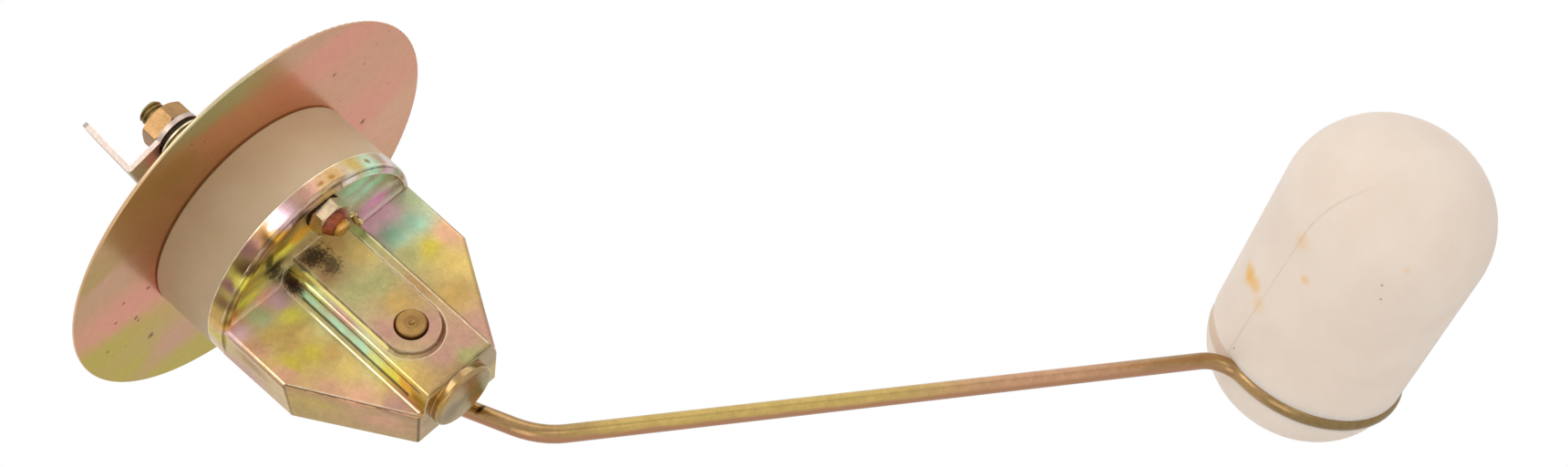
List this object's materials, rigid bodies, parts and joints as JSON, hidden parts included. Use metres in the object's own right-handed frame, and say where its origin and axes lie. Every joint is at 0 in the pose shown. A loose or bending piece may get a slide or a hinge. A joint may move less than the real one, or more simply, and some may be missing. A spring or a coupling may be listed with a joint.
{
  "type": "fuel level sender",
  "caption": "Fuel level sender: a round flange with a plastic collar and a pressed can under it, and a float on a bent wire arm that turns a spindle.",
  "frame": {"origin": "centre of the flange's tank face, on the axis of the collar", "axes": "+Z out of the tank, towards the terminal; -Y the side the can's front faces; the spindle lies along Y; the arm leans towards +X"},
  "size_m": [0.1984, 0.1052, 0.1596],
  "materials": {
    "zinc_flange": "yellow passivated zinc, satin",
    "zinc_can": "yellow passivated zinc, bright",
    "zinc_wire": "yellow passivated zinc wire",
    "zinc_hub": "yellow passivated zinc",
    "zinc_bright": "zinc plated",
    "nut_zinc": "zinc plated nut",
    "stud_zinc": "zinc plated stud",
    "dark_steel": "dark spring steel",
    "nylon": "natural nylon",
    "nylon_bush": "natural nylon",
    "float_plastic": "natural moulded plastic",
    "brass": "machined brass",
    "bronze": "spring bronze",
    "silver": "silver contact",
    "tinned": "tinned brass, satin",
    "lead_sleeve": "insulating sleeve",
    "card_board": "laminated board",
    "winding_wire": "resistance wire",
    "fibre": "dark fibre washer",
    "lacquer": "red lacquer"
  },
  "bodies": {
    "sender_body": {"flange_plate": "zinc_flange", "collar": "nylon", "housing_shell": "zinc_can", "back_cover": "zinc_can", "terminal_bush": "nylon_bush", "terminal_screw": "brass", "terminal_washer": "zinc_bright", "spring_washer": "dark_steel", "spade_terminal": "tinned", "terminal_nut": "brass", "lead_tag": "brass", "lead_wire": "lead_sleeve", "resistance_card": "card_board", "resistance_winding": "winding_wire", "card_spacers": "card_board", "card_rivets": "brass", "rear_bush": "brass", "front_fixing_stud": "stud_zinc", "front_fixing_washer": "fibre", "front_fixing_nut": "nut_zinc", "front_nut_seal": "lacquer", "rear_fixing_stud": "stud_zinc", "rear_fixing_washer": "fibre", "rear_fixing_nut": "nut_zinc", "rear_nut_seal": "lacquer"},
    "arm": {"pivot_spindle": "brass", "wiper_hub": "brass", "wiper_blade": "bronze", "wiper_contact": "silver", "arm_hub": "zinc_hub", "hub_screw": "zinc_bright", "float_arm": "zinc_wire", "float": "float_plastic"}
  },
  "joints": [
    {"name": "arm_swing", "type": "hinge", "parent": "sender_body", "child": "arm", "pos_m": [0, 0, -0.0346], "axis": [0, 1, 0], "range_deg": [-32, 50]}
  ]
}
